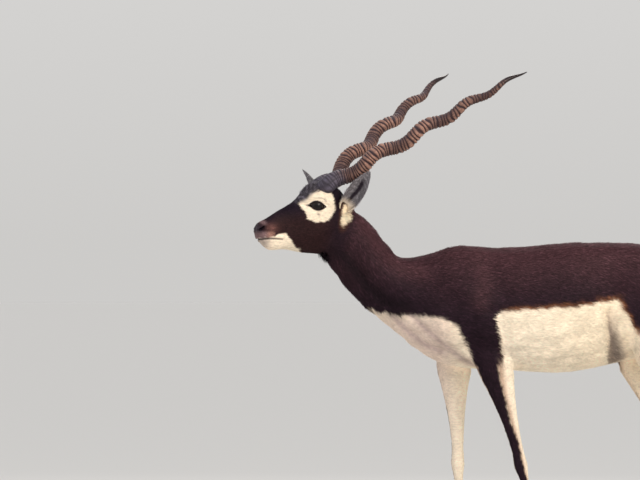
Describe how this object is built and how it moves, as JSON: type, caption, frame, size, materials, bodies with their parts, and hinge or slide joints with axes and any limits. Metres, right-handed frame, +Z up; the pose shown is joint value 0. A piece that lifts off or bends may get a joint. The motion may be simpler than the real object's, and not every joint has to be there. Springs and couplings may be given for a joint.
{
  "type": "standing male blackbuck",
  "caption": "Life-size blackbuck buck standing still, head turned to its left, with long ringed spiral horns laid back over its shoulders.",
  "frame": {"origin": "on the floor, below the middle of the model's box", "axes": "+Z up, +X from head to tail (the animal faces -X), +Y towards the animal's right side"},
  "size_m": [1.1558, 0.4796, 1.2227],
  "materials": {
    "coat": "matt",
    "horn": "satin",
    "hoof": "satin",
    "eye": "gloss"
  },
  "bodies": {
    "root": {"torso": "coat", "neck": "coat", "head": "coat", "tail": "coat", "left_horn": "horn", "left_eye": "eye", "left_ear": "coat", "right_horn": "horn", "right_eye": "eye", "right_ear": "coat", "left_foreleg_forearm": "coat", "left_foreleg_cannon": "coat", "left_foreleg_pastern": "coat", "left_foreleg_outer_hoof": "hoof", "left_foreleg_inner_hoof": "hoof", "right_foreleg_forearm": "coat", "right_foreleg_cannon": "coat", "right_foreleg_pastern": "coat", "right_foreleg_outer_hoof": "hoof", "right_foreleg_inner_hoof": "hoof", "left_hindleg_thigh": "coat", "left_hindleg_shank": "coat", "left_hindleg_cannon": "coat", "left_hindleg_pastern": "coat", "left_hindleg_outer_hoof": "hoof", "left_hindleg_inner_hoof": "hoof", "right_hindleg_thigh": "coat", "right_hindleg_shank": "coat", "right_hindleg_cannon": "coat", "right_hindleg_pastern": "coat", "right_hindleg_outer_hoof": "hoof", "right_hindleg_inner_hoof": "hoof"}
  },
  "joints": []
}
